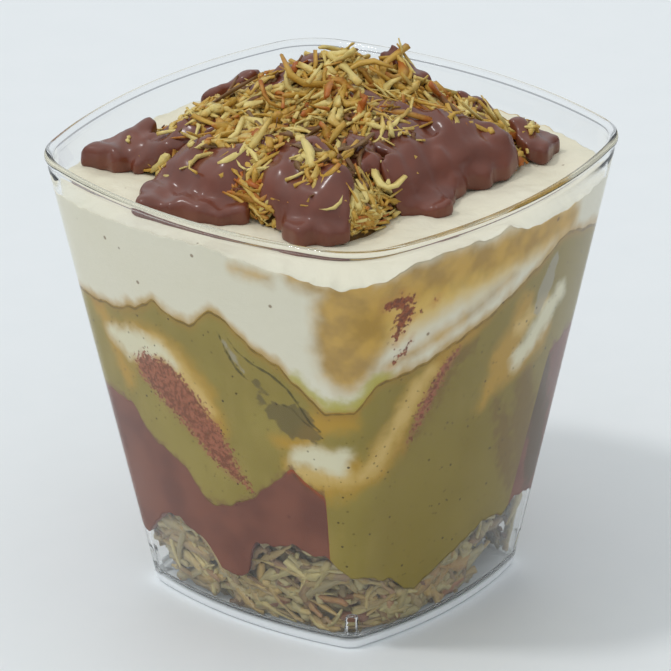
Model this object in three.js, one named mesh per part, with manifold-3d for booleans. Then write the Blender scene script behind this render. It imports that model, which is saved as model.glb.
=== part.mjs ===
// A tiramisu cup: a clear square beaker with bowed sides, filled in layers and topped with a heap.
// From the bottom up: crisp shredded pastry, chocolate cream, pistachio cream, white cream, then more
// shredded pastry with milk chocolate run over it.
// Millimetres, +Z up. The origin is the middle of the foot, on the surface that the cup stands on.
import * as THREE from "three";
import { mergeVertices } from "three/addons/utils/BufferGeometryUtils.js";
import Module from "manifold-3d";

const wasm = await Module();
wasm.setup();

// ---------- driving dimensions ----------
const DEG = Math.PI / 180;
const GAP = 0.3; // clearance between pieces that touch
const SIDES = 56; // steps round the cup

const CUP = {
  height: 72.5,
  halfWidth: [23, 38], // middle of a side, at the foot and at the rim
  bow: [68, 85], // radius of the bowed sides
  corner: [3, 11.5], // radius of the corners
  wall: 1.0,
  floorTop: 1.8,
  recess: 0.7, // hollow under the floor, inside the foot ring
  footRing: 2.0, // width of the ring that it stands on
};
const RIB = { radius: 0.9, top: 6.2, length: 5.2 }; // a moulded rib inside each bottom corner
const FRONT_CORNER = -45; // degrees: the corner that the layer heights below are counted from

// Heights of each boundary where it meets the wall, as [degrees from the front corner, height].
const PASTRY_TOP = [
  [-87, 9], [-77, 16.5], [-67, 14], [-53, 11.4], [-45, 9], [-38, 10], [-33, 16], [-24, 15.6],
  [-14, 17.6], [-5, 15.5], [1, 13], [9, 11.4], [17, 8.6], [24, 7.7], [33, 10.4], [45, 12.4],
  [60, 14.3], [75, 14], [100, 12], [130, 15], [165, 11], [200, 14], [235, 12], [258, 13],
];
const CHOCOLATE_TOP = [
  [-80, 37], [-66, 28], [-49, 21], [-38, 22.5], [-27, 26], [-17, 30.5], [-9, 26], [0, 22],
  [30, 20], [60, 24], [70, 32], [90, 42], [120, 34], [150, 30], [190, 36], [225, 30], [255, 38],
];
const PISTACHIO_TOP = [
  [-80, 50], [-63, 54], [-52, 52.5], [-41, 56.5], [-30, 53], [-15, 47], [-6, 42.3], [0, 42],
  [8, 46], [22, 51], [39, 53], [54, 58], [68, 62], [90, 58], [120, 52], [150, 57], [185, 51],
  [215, 56], [245, 53], [265, 51],
];
const CREAM_EDGE = [
  [-51, 68], [-37, 68.2], [-4, 66.6], [5, 67.3], [25, 68.3], [40, 67.8], [90, 66.8], [135, 67.4],
  [180, 67.2], [225, 67], [270, 67.2],
];
// How much of the way to the wall the chocolate cream reaches: it is hidden where this is under 1.
const CHOCOLATE_REACH = [
  [-60, 1], [-14, 1], [-6, 0.97], [0, 0.7], [10, 0.6], [55, 0.6], [64, 0.85], [70, 1], [150, 1],
  [240, 1],
];
const CREAM_LEVEL = 67.4;

// The heap on top is described in its own plan, turned so that its long way runs along its X.
const HEAP_TURN = 40; // degrees about Z
const HEAP_EDGE = [
  [12, 33], [36, 29], [64, 27], [90, 25.5], [116, 26], [146, 29], [168, 34], [177, 31], [184, 27],
  [205, 27.5], [222, 26], [235, 22.5], [249, 24.5], [265, 27], [276, 27.5], [289, 23.5],
  [298, 21], [322, 19.8], [341, 22.3], [354, 27.5],
];
const HEAP = {
  plateau: 8.4,
  reach: 30,
  hill: 6.2,
  hillAt: [1, 11],
  hillSize: [13, 11],
  edge: 0.7, // height of its thin edge over the cream
  sunk: 1.5, // how far it is made below the cream, before it is cut to it
};

// Milk chocolate run over the heap: each pool is [x, y, half length, half width, turn, thickness].
const CHOCOLATE_POOLS = {
  chocolate_left_lobe: [
    [-32, 4.5, 5.6, 3.8, 10, 3.2], [-26.5, 1.5, 4, 3.2, 0, 2], [-20.5, 1.5, 5, 3.6, 15, 1.8],
  ],
  chocolate_left_drip: [[-22.5, -12.5, 6.5, 7.8, -20, 2.6], [-16, -15.5, 6, 6, 30, 2.6]],
  chocolate_front_drip: [[-6, -17, 5.5, 7, 0, 2.6], [-2.5, -23.5, 5.4, 6, 20, 2.8]],
  chocolate_middle_sheet: [
    [4, -1, 5, 4.2, 0, 1.6], [12, -3.5, 6, 5, -20, 1.8], [13.2, -12, 6.8, 6.6, 15, 2.4],
    [21, -3.5, 6.8, 5.2, 25, 3],
  ],
  chocolate_front_pool: [[4.2, -14.5, 3.2, 4.6, 10, 1.8]],
  chocolate_right_lobe: [[31, 6.5, 3.6, 4, 0, 2.8]],
  chocolate_right_pool: [[22.5, 12, 3.8, 2.8, -20, 2.2]],
  chocolate_top_lump: [[-2.2, 11.5, 2.8, 3, 0, 3.2]],
  chocolate_back_pool: [[-8.5, 8.5, 4.2, 2.6, 10, 1.8]],
  chocolate_back_lobe: [[-15.5, 17, 4.4, 2.8, 15, 2.6]],
  chocolate_shard: [[11.5, 11.5, 4.4, 1.9, -35, 5.2]],
};
const POOL_SIDES = 12;

const SHRED = { radius: 0.65, sides: 4, steps: 4 }; // a shred of pastry
const HEAP_SHREDS = 64;
const BED_SHREDS = 34;
const BED_CORE_INSET = 2; // the bed's core stays this far behind the shreds that show

// ---------- looks ----------
const finish = (color, roughness, extra = {}) =>
  new THREE.MeshStandardMaterial({ color, roughness, metalness: 0, ...extra });
const FINISH = {
  plastic: finish(0xdfe5e6, 0.05, { transparent: true, opacity: 0.25 }),
  pastry: finish(0xa98f4a, 0.75),
  chocolateCream: finish(0x7c4840, 0.6),
  pistachio: finish(0x867b41, 0.55),
  whiteCream: finish(0xe9e2cc, 0.6),
  milkChocolate: finish(0x6e3e35, 0.3),
};

// ---------- small tools ----------
// A seeded draw, so that the shreds always fall the same way.
function seededDraw(seed) {
  let state = seed;
  return (low, high) => {
    state = (state * 1664525 + 1013904223) % 4294967296;
    return low + ((high - low) * state) / 4294967296;
  };
}

// Height (or any value) round a full turn, eased between the given [degrees, value] points.
function roundCurve(points) {
  const turn = (degrees) => ((degrees % 360) + 360) % 360;
  const sorted = points.map(([d, v]) => [turn(d), v]).sort((a, b) => a[0] - b[0]);
  const closed = [...sorted, [sorted[0][0] + 360, sorted[0][1]]];
  return (degrees) => {
    let at = turn(degrees);
    if (at < closed[0][0]) at += 360;
    const next = closed.findIndex(([d]) => d > at);
    const [d0, v0] = closed[next - 1];
    const [d1, v1] = closed[next];
    const even = (at - d0) / (d1 - d0);
    const eased = THREE.MathUtils.smoothstep(at, d0, d1);
    return THREE.MathUtils.lerp(v0, v1, 0.4 * even + 0.6 * eased);
  };
}

const fromFrontCorner = (angle) => angle / DEG - FRONT_CORNER;

// Distance from the axis to the cup's outer face, at a direction and a height.
function outlineRadius(angle, z) {
  const up = z / CUP.height;
  const [halfWidth, bow, corner] = [CUP.halfWidth, CUP.bow, CUP.corner].map(([low, high]) =>
    THREE.MathUtils.lerp(low, high, up),
  );
  const quarter = Math.PI / 2;
  const folded = Math.abs(THREE.MathUtils.euclideanModulo(angle + quarter / 2, quarter) - quarter / 2);
  const back = bow - halfWidth; // the bow's centre lies this far behind the axis
  const onBow = Math.sqrt(bow ** 2 - (back * Math.sin(folded)) ** 2) - back * Math.cos(folded);
  // The corner's centre lies on the diagonal, where both bows are met from inside.
  const middle = (Math.sqrt(2 * (bow - corner) ** 2 - back ** 2) - back) / 2;
  const bowDirection = Math.atan2(onBow * Math.sin(folded), onBow * Math.cos(folded) + back);
  if (bowDirection < Math.atan2(middle, middle + back)) return onBow;
  const along = middle * (Math.cos(folded) + Math.sin(folded));
  return along + Math.sqrt(corner ** 2 - (2 * middle ** 2 - along ** 2));
}

// A three.js geometry as a solid: shared vertices merged, collapsed triangles dropped.
function solidOf(geometry) {
  const bare = geometry.clone();
  for (const name of Object.keys(bare.attributes)) {
    if (name !== "position") bare.deleteAttribute(name);
  }
  const merged = mergeVertices(bare, 1e-4);
  const corners = [...merged.index.array];
  const triVerts = [];
  for (let i = 0; i < corners.length; i += 3) {
    const [a, b, c] = corners.slice(i, i + 3);
    if (a !== b && b !== c && c !== a) triVerts.push(a, b, c);
  }
  const vertProperties = merged.attributes.position.array;
  const mesh = (indices) =>
    new wasm.Mesh({ numProp: 3, vertProperties, triVerts: new Uint32Array(indices) });
  const solid = new wasm.Manifold(mesh(triVerts));
  return solid.volume() > 0 ? solid : new wasm.Manifold(mesh(triVerts.reverse()));
}

// The largest body of a solid, so that no loose scrap is left.
function largestBody(solid) {
  return solid.decompose().reduce((best, body) => (body.volume() > best.volume() ? body : best));
}

const joined = (solids) => largestBody(wasm.Manifold.union(solids));

// The named mesh that the group holds.
function piece(name, solid, material) {
  const { numProp, vertProperties, triVerts } = solid.getMesh();
  const geometry = new THREE.BufferGeometry();
  const position = new Float32Array((vertProperties.length / numProp) * 3);
  for (let i = 0; i < position.length / 3; i++) {
    position.set(vertProperties.subarray(i * numProp, i * numProp + 3), i * 3);
  }
  geometry.setAttribute("position", new THREE.BufferAttribute(position, 3));
  geometry.setIndex(new THREE.BufferAttribute(new Uint32Array(triVerts), 1));
  geometry.computeVertexNormals();
  const mesh = new THREE.Mesh(geometry, material);
  mesh.name = name;
  return mesh;
}

// A profile of [share, level] pairs is revolved, then `place(angle, share, level)` says where each point goes.
function revolved(profile, sides, place) {
  const points = profile.map(([share, level]) => new THREE.Vector2(share, level));
  const geometry = new THREE.LatheGeometry(points, sides).rotateX(Math.PI / 2);
  const position = geometry.getAttribute("position");
  for (let i = 0; i < position.count; i++) {
    const [x, y, level] = [position.getX(i), position.getY(i), position.getZ(i)];
    position.setXYZ(i, ...place(Math.atan2(y, x), Math.hypot(x, y), level));
  }
  return solidOf(geometry);
}

// The steps round the cup are closer together at its corners.
const crowded = (angle) => angle + 0.12 * Math.sin(4 * angle);

// ---------- the cup ----------
function cupSolid() {
  const { height, wall, floorTop, recess, footRing, halfWidth } = CUP;
  const thin = wall / halfWidth[1];
  const thick = wall / halfWidth[0];
  const ring = footRing / halfWidth[0];
  const middle = height / 2;
  const profile = [
    [0, recess], [1 - ring - 0.03, recess], [1 - ring, 0], [0.985, 0], [1, 0.8],
    [1, middle], [1, height - 1.5], [1 + thin * 0.25, height - 0.6],
    [1 - thin * 0.35, height], [1 - thin, height - 0.8],
    [1 - (thick + thin) / 2, middle],
    [1 - thick, floorTop + 0.8], [1 - thick * 1.6, floorTop], [0, floorTop],
  ];
  const shell = revolved(profile, SIDES, (angle, share, z) => {
    const turned = crowded(angle);
    const radius = share * outlineRadius(turned, z);
    return [radius * Math.cos(turned), radius * Math.sin(turned), z];
  });
  return joined([shell, ...cornerRibs()]);
}

// A round-topped rib stands inside each bottom corner, leaning out with the wall.
function cornerRibs() {
  const cornerAngle = 45 * DEG;
  const low = outlineRadius(cornerAngle, 0) - CUP.wall;
  const lean = Math.atan2(outlineRadius(cornerAngle, CUP.height) - CUP.wall - low, CUP.height);
  return [0, 1, 2, 3].map((quarter) => {
    const geometry = new THREE.CapsuleGeometry(RIB.radius, RIB.length - 2 * RIB.radius, 2, 8);
    geometry.rotateX(Math.PI / 2).rotateY(lean);
    const middle = RIB.top - RIB.length / 2;
    geometry.translate(low + Math.tan(lean) * middle - 0.15, 0, middle);
    geometry.rotateZ(cornerAngle + (quarter * Math.PI) / 2);
    return solidOf(geometry);
  });
}

// ---------- the layers ----------
const boundary = (points, hidden) => {
  const atWall = roundCurve(points);
  return (angle, share) =>
    THREE.MathUtils.lerp(hidden, atWall(fromFrontCorner(angle)), share ** 3);
};
const pastryTop = boundary(PASTRY_TOP, 14);
const chocolateTop = boundary(CHOCOLATE_TOP, 30);
const pistachioTop = boundary(PISTACHIO_TOP, 50);
const creamEdge = roundCurve(CREAM_EDGE);
const chocolateReach = roundCurve(CHOCOLATE_REACH);

// The cream's top is nearly level, with slow waves, and it turns up or down where it meets the wall.
function creamTop(angle, share) {
  const wave = 0.35 * Math.sin(3 * angle + 1) * share ** 2;
  const edge = THREE.MathUtils.smoothstep(share, 0.8, 1);
  return THREE.MathUtils.lerp(CREAM_LEVEL + wave, creamEdge(fromFrontCorner(angle)), edge);
}

// Every layer has the same rings above and below, so that neighbours stay parallel where they meet.
const LAYER_RINGS = [0, 0.4, 0.72, 0.9];
const LAYER_PROFILE = [
  ...LAYER_RINGS.map((share) => [share, 0]),
  [1, 0], [1, 0.33], [1, 0.67], [1, 1],
  ...LAYER_RINGS.map((share) => [share, 1]).reverse(),
];

// A layer fills the cup from one boundary to the next, `inset` clear of the wall.
function layer(bottom, top, { inset = GAP, reach = () => 1, sides = SIDES, profile = LAYER_PROFILE } = {}) {
  return revolved(profile, sides, (angle, share, level) => {
    const turned = crowded(angle);
    const out = share * reach(fromFrontCorner(turned));
    const z = THREE.MathUtils.lerp(bottom(turned, out), top(turned, out), level);
    const radius = out * (outlineRadius(turned, z) - CUP.wall * 1.08 - inset);
    return [radius * Math.cos(turned), radius * Math.sin(turned), z];
  });
}

const raised = (surface, by) => (angle, share) => surface(angle, share) + by;
const floorLevel = () => CUP.floorTop + GAP;

// ---------- shreds ----------
function shredSolid(points) {
  const path = new THREE.CatmullRomCurve3(points);
  const corners = Array.from({ length: SHRED.sides }, (_, i) => {
    const angle = (i * 2 * Math.PI) / SHRED.sides;
    return new THREE.Vector2(SHRED.radius * Math.cos(angle), SHRED.radius * Math.sin(angle));
  });
  const section = new THREE.Shape(corners);
  return solidOf(new THREE.ExtrudeGeometry(section, { steps: SHRED.steps, extrudePath: path }));
}

// Shreds are drawn until enough of them lie clear of everything in their way and of each other.
function clearShreds(wanted, drawPath, obstacles) {
  const kept = [];
  for (let tries = 0; kept.length < wanted && tries < wanted * 6; tries++) {
    const shred = shredSolid(drawPath(tries % wanted, Math.floor(tries / wanted)));
    const clear = [...obstacles, ...kept].every((other) => shred.intersect(other).isEmpty());
    if (clear) kept.push(shred);
  }
  return kept;
}

// Below, the shreds are pressed flat against the wall, round the edge of a plain core.
function pastryBed(obstacles) {
  const core = layer(floorLevel, raised(pastryTop, -1), {
    inset: BED_CORE_INSET,
    sides: SIDES / 2,
    profile: [[0, 0], [1, 0], [1, 1], [0.7, 1], [0, 1]],
  });
  const draw = seededDraw(11);
  const inset = CUP.wall * 1.08 + GAP + SHRED.radius + 0.05;
  const lowest = floorLevel() + SHRED.radius;
  const drawPath = (index, round) => {
    const start = (index * 360) / BED_SHREDS + draw(-4, 4);
    const length = draw(8, 17) * 0.85 ** round;
    const slope = draw(-0.9, 0.9);
    const bow = draw(-2, 2);
    const low = lowest + draw(0, 7.5);
    return [0, 0.2, 0.5, 0.8, 1].map((way) => {
      const degrees = start + ((way - 0.5) * length * Math.cos(slope)) / 0.45;
      const angle = (degrees + FRONT_CORNER) * DEG;
      const highest = pastryTop(angle, 1) - SHRED.radius - 0.4;
      const wanted = low + (way - 0.5) * length * Math.sin(slope) + bow * way * (1 - way) * 4;
      const z = THREE.MathUtils.clamp(wanted, lowest, Math.max(lowest, highest));
      const dive = way === 0 || way === 1 ? BED_CORE_INSET : 0; // both ends go into the core
      const radius = outlineRadius(angle, z) - inset - dive;
      return new THREE.Vector3(radius * Math.cos(angle), radius * Math.sin(angle), z);
    });
  };
  return joined([core, ...clearShreds(BED_SHREDS, drawPath, obstacles)]);
}

// ---------- the heap on top ----------
const heapEdge = roundCurve(HEAP_EDGE);

// Height of the heap's core over the cream, at a point of its own plan.
function heapHeight(x, y, grow = 0) {
  const share = Math.hypot(x, y) / (heapEdge(Math.atan2(y, x) / DEG) + grow);
  if (share >= 1) return 0;
  const plateau = HEAP.plateau * Math.exp(-((Math.abs(x) / HEAP.reach) ** 3));
  const [dx, dy] = [(x - HEAP.hillAt[0]) / HEAP.hillSize[0], (y - HEAP.hillAt[1]) / HEAP.hillSize[1]];
  const hill = HEAP.hill * Math.exp(-dx * dx - dy * dy);
  const lumps = 0.7 * Math.sin(x * 0.55 + 1) * Math.sin(y * 0.5);
  return (plateau + hill + lumps + grow) * Math.sqrt(1 - share ** 4);
}

// From the heap's own plan to the cup's.
function turnedPlan(x, y) {
  const [c, s] = [Math.cos(HEAP_TURN * DEG), Math.sin(HEAP_TURN * DEG)];
  return [x * c - y * s, x * s + y * c];
}

// Top of whatever lies at a point of the heap's plan: the cream, with the heap's core on it.
function heapSurface(x, y, grow = 0) {
  const [px, py] = turnedPlan(x, y);
  const angle = Math.atan2(py, px);
  const share = Math.hypot(px, py) / (outlineRadius(angle, CREAM_LEVEL) - CUP.wall - GAP);
  return creamTop(angle, share) + heapHeight(x, y, grow);
}

const HEAP_SIDES = 32;
const HEAP_PROFILE = [
  [0, 0], [1, 0], [1, 1], [0.95, 1], [0.83, 1], [0.65, 1], [0.42, 1], [0.2, 1], [0, 1],
];

function heapCore(creamBelow, grow = 0) {
  const core = revolved(HEAP_PROFILE, HEAP_SIDES, (angle, share, level) => {
    const radius = share * (heapEdge(angle / DEG) + grow);
    const [x, y] = [radius * Math.cos(angle), radius * Math.sin(angle)];
    const top = Math.max(heapSurface(x, y, grow), CREAM_LEVEL + HEAP.edge + grow);
    return [...turnedPlan(x, y), level < 0.5 ? CREAM_LEVEL - HEAP.sunk : top];
  });
  return largestBody(core.subtract(creamBelow));
}

const POOL_PROFILE = [[0, 0], [0.9, 0], [1, 0.4], [0.9, 0.8], [0.6, 1], [0, 1]];
const POOL_SUNK = 1.2; // how far a pool reaches below the surface before it is cut to it

// One pool of chocolate lies on the heap and on the cream beside it, with a round edge.
function poolSolid([x0, y0, halfLength, halfWidth, turn, thickness], grow = 0) {
  return revolved(POOL_PROFILE, POOL_SIDES, (angle, share, level) => {
    const ripple = 1 + 0.09 * Math.sin(3 * angle + x0) + 0.06 * Math.sin(5 * angle + y0);
    const [u, v] = [
      share * (halfLength * ripple + grow) * Math.cos(angle),
      share * (halfWidth * ripple + grow) * Math.sin(angle),
    ];
    const [c, s] = [Math.cos(turn * DEG), Math.sin(turn * DEG)];
    const [x, y] = [x0 + u * c - v * s, y0 + u * s + v * c];
    const lift = THREE.MathUtils.lerp(-POOL_SUNK, thickness + GAP + grow, level);
    return [...turnedPlan(x, y), heapSurface(x, y) + lift];
  });
}

function pastryTopping(core, obstacles) {
  const draw = seededDraw(29);
  const drawPath = (index, round) => {
    // Golden-angle steps spread the shreds evenly, out to the heap's edge.
    const direction = index * 137.5 + draw(-15, 15);
    const out = Math.sqrt((index + 0.5) / HEAP_SHREDS) * 0.93;
    const reach = heapEdge(direction) * out;
    const [x0, y0] = [reach * Math.cos(direction * DEG), reach * Math.sin(direction * DEG)];
    const heading = draw(0, 2 * Math.PI);
    const length = draw(8, 17) * 0.85 ** round; // where there is little room, the next ones are shorter
    const bow = draw(-3.5, 3.5);
    const rise = draw(2.2, 3.6);
    return [-0.5, -0.25, 0, 0.25, 0.5].map((way) => {
      const side = bow * (0.25 - way * way) * 4;
      const x = x0 + way * length * Math.cos(heading) - side * Math.sin(heading);
      const y = y0 + way * length * Math.sin(heading) + side * Math.cos(heading);
      const [px, py] = turnedPlan(x, y);
      const standing = index % 5 === 0; // every fifth one stands up out of the heap
      const lift = standing ? 2 * rise * (way + 0.5) : rise * (1 - 4 * way * way);
      return new THREE.Vector3(px, py, heapSurface(x, y) + lift - 0.6);
    });
  };
  return joined([core, ...clearShreds(HEAP_SHREDS, drawPath, obstacles)]);
}

// ---------- assembly ----------
const cup = cupSolid();

const chocolateCream = (grow) =>
  layer(raised(pastryTop, GAP - grow), raised(chocolateTop, grow), {
    inset: GAP - grow,
    reach: (degrees) => chocolateReach(degrees) + grow / 20,
  });
const pistachioBlock = layer(raised(pastryTop, GAP), pistachioTop);
const pistachioCream = largestBody(pistachioBlock.subtract(chocolateCream(GAP)));

const whiteCream = layer(raised(pistachioTop, GAP), creamTop);
const creamCutter = layer(pistachioTop, raised(creamTop, GAP), { inset: -CUP.wall * 2 });

const core = heapCore(creamCutter);
const heapCutter = heapCore(creamCutter, GAP * 1.3).add(core);
// Each pool is cut to the heap and the cream below it, and keeps clear of the pools before it.
const pools = [];
const poolCutters = [];
for (const [name, parts] of Object.entries(CHOCOLATE_POOLS)) {
  const whole = wasm.Manifold.union(parts.map((part) => poolSolid(part)));
  const cut = wasm.Manifold.difference([whole, heapCutter, creamCutter, ...poolCutters]);
  pools.push({ name, solid: largestBody(cut) });
  poolCutters.push(...parts.map((part) => poolSolid(part, GAP * 1.5)));
}

const inTheWay = [creamCutter, ...pools.map(({ solid }) => solid), ...poolCutters];

const contents = new THREE.Group();
contents.add(
  piece("pastry_bed", pastryBed([cup, chocolateCream(GAP), pistachioCream]), FINISH.pastry),
  piece("chocolate_cream", chocolateCream(0), FINISH.chocolateCream),
  piece("pistachio_cream", pistachioCream, FINISH.pistachio),
  piece("white_cream", whiteCream, FINISH.whiteCream),
  piece("pastry_topping", pastryTopping(core, inTheWay), FINISH.pastry),
  ...pools.map(({ name, solid }) => piece(name, solid, FINISH.milkChocolate)),
);

const tiramisuCup = new THREE.Group();
tiramisuCup.add(piece("cup", cup, FINISH.plastic), contents);

export default tiramisuCup;
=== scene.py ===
# %% [markdown]
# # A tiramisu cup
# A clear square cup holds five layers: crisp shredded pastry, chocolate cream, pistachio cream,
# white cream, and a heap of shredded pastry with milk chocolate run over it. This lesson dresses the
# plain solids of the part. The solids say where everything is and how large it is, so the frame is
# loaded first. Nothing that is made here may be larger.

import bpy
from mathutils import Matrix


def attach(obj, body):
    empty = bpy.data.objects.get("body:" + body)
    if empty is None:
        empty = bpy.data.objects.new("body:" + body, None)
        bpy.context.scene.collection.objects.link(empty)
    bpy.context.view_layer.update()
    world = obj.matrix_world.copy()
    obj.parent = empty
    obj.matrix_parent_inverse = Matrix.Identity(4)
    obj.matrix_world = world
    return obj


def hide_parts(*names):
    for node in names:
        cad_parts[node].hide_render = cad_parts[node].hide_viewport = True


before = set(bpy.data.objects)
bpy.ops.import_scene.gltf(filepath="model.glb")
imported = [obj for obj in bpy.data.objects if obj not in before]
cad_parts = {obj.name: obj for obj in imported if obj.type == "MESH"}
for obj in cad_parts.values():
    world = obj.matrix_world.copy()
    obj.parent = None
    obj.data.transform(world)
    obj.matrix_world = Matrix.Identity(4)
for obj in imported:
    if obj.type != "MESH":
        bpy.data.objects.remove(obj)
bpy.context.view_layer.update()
print("solids in the frame:", len(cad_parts))

# %% Tools and units
import math

import bmesh
import bpy
import numpy as np
from mathutils import Matrix, Vector, noise

MM = 0.001  # the lesson measures in millimetres, Blender in metres
scene = bpy.context.scene

# %% [markdown]
# ## The camera
# A food picture of this kind is taken with a long lens from well away, so that the cup's sides hardly
# taper towards the back. The camera stands a metre off and looks down by about 24 degrees at the
# cup's front corner. It is placed by its direction, which is easier to read than a rotation.

# %% The camera
LENS, SENSOR = 359.98, 36.0
AZIMUTH, ELEVATION, ROLL = (math.radians(a) for a in (39.971, 23.792, -0.457))
DISTANCE, RIGHT_BY, UP_BY, LOOK_AT = 1035.47, 0.305, 3.55, 36.25

to_camera = Vector((
    math.sin(AZIMUTH) * math.cos(ELEVATION),
    -math.cos(AZIMUTH) * math.cos(ELEVATION),
    math.sin(ELEVATION),
))
level_right = (-to_camera).cross(Vector((0, 0, 1))).normalized()
level_up = level_right.cross(-to_camera)
place = to_camera * DISTANCE + level_right * RIGHT_BY + level_up * UP_BY + Vector((0, 0, LOOK_AT))
right = math.cos(ROLL) * level_right + math.sin(ROLL) * level_up
up = math.cos(ROLL) * level_up - math.sin(ROLL) * level_right

camera = bpy.data.objects.new("camera", bpy.data.cameras.new("camera"))
scene.collection.objects.link(camera)
camera.data.lens, camera.data.sensor_width = LENS, SENSOR
camera.matrix_world = Matrix.Translation(place * MM) @ Matrix((right, up, to_camera)).transposed().to_4x4()
scene.camera = camera
print("camera at", [round(c, 3) for c in camera.location])

# %% [markdown]
# ## Small helpers for materials
# Every finish here is a short chain of nodes: a base colour, a noise that varies it, and masks that
# mix a second colour in. A few helpers keep each recipe readable. Patterns follow Object coordinates,
# so that they stay still on the piece, and colours are given as they look on a screen, 0 to 255.

# %% Material helpers
def screen_colour(red, green, blue):
    """A colour as seen on a screen, turned into the light values that shaders use."""
    values = (np.array((red, green, blue)) / 255.0).tolist()
    return tuple(v / 12.92 if v <= 0.04045 else ((v + 0.055) / 1.055) ** 2.4 for v in values) + (1.0,)


def new_material(name):
    material = bpy.data.materials.new(name)
    material.use_nodes = True
    material.node_tree.nodes.clear()
    return material, material.node_tree


def add(tree, kind, settings=None, **inputs):
    """Adds a node. An input is given a value, or another node's output, by its name or as i and a number."""
    node = tree.nodes.new(kind)
    for key, value in (settings or {}).items():
        setattr(node, key, value)
    for key, value in inputs.items():
        numbered = key[0] == "i" and key[1:].isdigit()
        socket = node.inputs[int(key[1:]) if numbered else key.replace("_", " ")]
        if isinstance(value, bpy.types.NodeSocket):
            tree.links.new(value, socket)
        else:
            socket.default_value = value
    return node


def grain(tree, size_mm, detail=2.0, stretch=(1, 1, 1)):
    """Noise between 0 and 1 whose lumps are about size_mm across."""
    where = add(tree, "ShaderNodeTexCoord").outputs["Object"]
    scaled = add(tree, "ShaderNodeMapping", Vector=where, Scale=tuple(1 / s for s in stretch))
    lumps = add(tree, "ShaderNodeTexNoise", Vector=scaled.outputs[0], Scale=1 / (size_mm * MM), Detail=detail)
    return lumps.outputs["Fac"]


def reading(tree, name):
    return add(tree, "ShaderNodeAttribute", {"attribute_name": name}).outputs["Fac"]


def step_between(tree, value, low, high):
    """0 below low, 1 above high, and eased in between."""
    return add(tree, "ShaderNodeMapRange", {"interpolation_type": "SMOOTHSTEP"}, Value=value, From_Min=low,
               From_Max=high).outputs["Result"]


def calculated(tree, operation, first, second, third=0.0):
    return add(tree, "ShaderNodeMath", {"operation": operation}, i0=first, i1=second, i2=third).outputs[0]


def mixed(tree, factor, first, second):
    return add(tree, "ShaderNodeMix", {"data_type": "RGBA"}, i0=factor, i6=first, i7=second).outputs[2]


def stained(tree, base, attribute, colour, soft, ragged, grain_mm, strength):
    """Mixes a colour in where a stroke's depth, roughened at its edge by noise, is above zero."""
    rough_edge = calculated(tree, "MULTIPLY_ADD", grain(tree, grain_mm, 3.0), ragged, -ragged / 2)
    depth = calculated(tree, "ADD", reading(tree, attribute), rough_edge)
    mask = calculated(tree, "MULTIPLY", step_between(tree, depth, -soft, soft), strength)
    return mixed(tree, mask, base, colour)


def stained_in_turn(tree, base, *stains):
    """Lays stains over a base, each (attribute, colour, softness, raggedness, grain in mm, strength)."""
    for attribute, colour, *edge in stains:
        base = stained(tree, base, attribute, screen_colour(*colour), *edge)
    return base


def two_toned(tree, size_mm, detail, low, high, first, second):
    """Two colours in lumps of about size_mm."""
    share = step_between(tree, grain(tree, size_mm, detail), low, high)
    return mixed(tree, share, screen_colour(*first), screen_colour(*second))


def specked(tree, base, colour, spacing_mm, size, share, strength=0.8):
    """Scatters round specks, at most one in each cell; share is how many of the cells have one."""
    where = add(tree, "ShaderNodeTexCoord").outputs["Object"]
    cells = add(tree, "ShaderNodeTexVoronoi", Vector=where, Scale=1 / (spacing_mm * MM))
    chance = add(tree, "ShaderNodeSeparateColor", Color=cells.outputs["Color"]).outputs[0]
    reach = calculated(tree, "MULTIPLY", step_between(tree, chance, 1 - share, 1.0), size)
    dot = calculated(tree, "SUBTRACT", reach, cells.outputs["Distance"])
    mask = calculated(tree, "MULTIPLY", step_between(tree, dot, -0.02, 0.04), strength)
    return mixed(tree, mask, base, colour)


def surface(tree, colour, roughness, height=None, depth_mm=0.1, mirror=0.5, **more):
    """The shader itself, with a bump of the given depth. What lies against plastic mirrors little."""
    inputs = dict(Base_Color=colour, Roughness=roughness, Specular_IOR_Level=mirror, **more)
    if height is not None:
        bump = add(tree, "ShaderNodeBump", Strength=1.0, Distance=depth_mm * MM, Height=height)
        inputs["Normal"] = bump.outputs[0]
    shader = add(tree, "ShaderNodeBsdfPrincipled", **inputs)
    add(tree, "ShaderNodeOutputMaterial", Surface=shader.outputs[0])


# %% [markdown]
# ## Floor and light
# The cup stands on a plain pale table. One lamp, high on the left and a little in front, gives the soft
# shadow to the right; its angle of a few degrees sets how soft. The rest of the light comes from all
# round, as from white walls and a white ceiling, a little less of it from the right. That is also
# what the clear rim and the chocolate mirror.

# %% The floor
TABLE_HALF_WIDTH = 600

table_finish, tree = new_material("pale_table")
table_colour = mixed(tree, grain(tree, 9, 4.0), screen_colour(230, 233, 234), screen_colour(234, 236, 237))
surface(tree, table_colour, 0.6)

floor_shape = bmesh.new()
bmesh.ops.create_grid(floor_shape, x_segments=1, y_segments=1, size=TABLE_HALF_WIDTH * MM)
floor_mesh = bpy.data.meshes.new("table_top")
floor_shape.to_mesh(floor_mesh)
floor_mesh.materials.append(table_finish)
floor = bpy.data.objects.new("table_top", floor_mesh)
scene.collection.objects.link(floor)
print("table top:", 2 * TABLE_HALF_WIDTH, "mm across")

# %% The lamp and the light from all round
TO_LAMP = Vector((-0.266, -0.425, 0.865))
LAMP_STRENGTH, LAMP_ANGLE = 0.68, 7
ROOM_STRENGTH, LESS_AT_RIGHT = 1.14, 0.45
WALLS_UP_TO, CEILING_FROM = -0.05, 0.55  # as the height of a direction, straight up being 1

lamp = bpy.data.objects.new("lamp", bpy.data.lights.new("lamp", "SUN"))
scene.collection.objects.link(lamp)
lamp.rotation_euler = TO_LAMP.to_track_quat("Z", "Y").to_euler()
lamp.data.energy, lamp.data.angle = LAMP_STRENGTH, math.radians(LAMP_ANGLE)

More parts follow.
